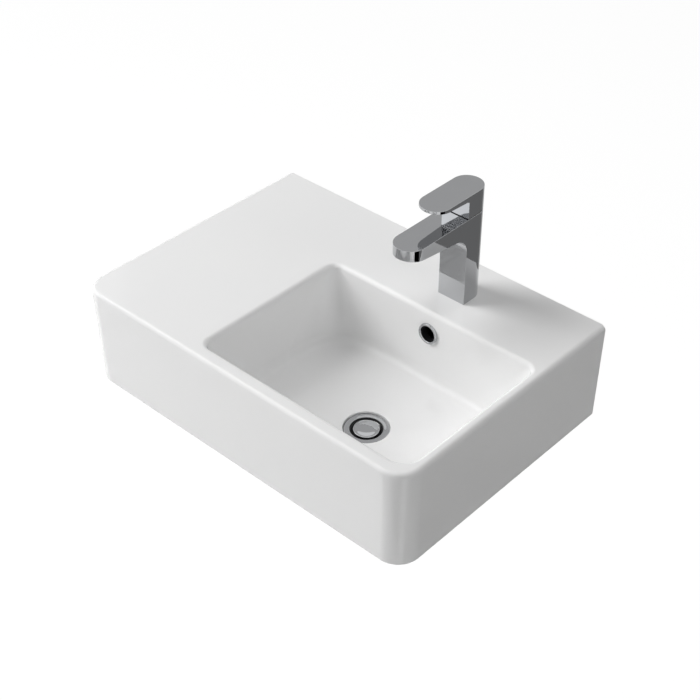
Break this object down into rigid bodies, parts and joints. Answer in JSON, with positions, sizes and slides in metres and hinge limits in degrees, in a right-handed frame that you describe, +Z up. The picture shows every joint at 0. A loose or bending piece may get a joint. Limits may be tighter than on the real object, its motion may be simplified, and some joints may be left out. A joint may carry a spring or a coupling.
{
  "type": "wall-hung basin",
  "caption": "Rectangular wall-hung basin with a side shelf, a rounded bowl, an overflow, a press plug waste and a lever mixer tap.",
  "frame": {"origin": "midpoint between the two wall bolts, on the basin's back face", "axes": "+X to the right as seen from the front, along the wall and the basin's longest side; +Y into the wall; +Z up"},
  "size_m": [0.5998, 0.4199, 0.381],
  "materials": {
    "glaze": "white gloss glaze",
    "chrome": "polished chrome plate",
    "brass": "turned brass",
    "plated_steel": "zinc plated steel",
    "spring_steel": "drawn stainless wire",
    "rubber": "black rubber",
    "white_plastic": "moulded white plastic",
    "dark_plastic": "moulded dark grey plastic",
    "alumina": "lapped ceramic disc"
  },
  "bodies": {
    "basin": {"basin_body": "glaze", "overflow_ring": "chrome", "wall_bushes": "white_plastic", "waste_body": "chrome", "waste_top_seal": "rubber", "waste_bottom_seal": "rubber", "waste_washer": "white_plastic", "waste_nut": "brass", "plug_latch_housing": "white_plastic", "plug_spring": "spring_steel", "tap_body": "chrome", "tap_base_ring": "dark_plastic", "tap_stud": "brass", "clamp_rubber": "rubber", "clamp_plate": "plated_steel", "stud_nut": "brass", "cartridge_nut": "brass", "cartridge_housing": "white_plastic", "cartridge_base": "white_plastic", "cartridge_seals": "rubber", "cartridge_fixed_disc": "alumina", "aerator_housing": "chrome", "aerator_insert": "white_plastic", "aerator_seal": "rubber"},
    "swivel": {"cartridge_carrier": "white_plastic", "cartridge_cross_pin": "spring_steel"},
    "lever": {"tap_lever": "chrome", "lever_grub_screw": "plated_steel", "lever_screw_cap": "chrome", "cartridge_spindle": "plated_steel"},
    "disc": {"cartridge_sliding_disc": "alumina", "cartridge_slider": "dark_plastic"},
    "plug": {"plug_cap": "chrome", "plug_seal": "rubber", "plug_stem": "brass"}
  },
  "joints": [
    {"name": "lever_swivel", "type": "hinge", "parent": "basin", "child": "swivel", "pos_m": [0.104, -0.0705, 0.247], "axis": [0, 0, 1], "range_deg": [-45, 45]},
    {"name": "lever_lift", "type": "hinge", "parent": "swivel", "child": "lever", "pos_m": [0.104, -0.0705, 0.247], "axis": [-1, 0, 0], "range_deg": [0, 25]},
    {"name": "disc_slide", "type": "slide", "parent": "swivel", "child": "disc", "axis": [0, -1, 0], "range_m": [0, 0.0062]},
    {"name": "plug_slide", "type": "slide", "parent": "basin", "child": "plug", "axis": [0, 0, 1], "range_m": [-0.0015, 0.008], "deforming": ["plug_spring"]}
  ],
  "couplings": [
    {"joint": "disc_slide", "follows": "lever_lift", "m_per_rad": 0.01389}
  ]
}
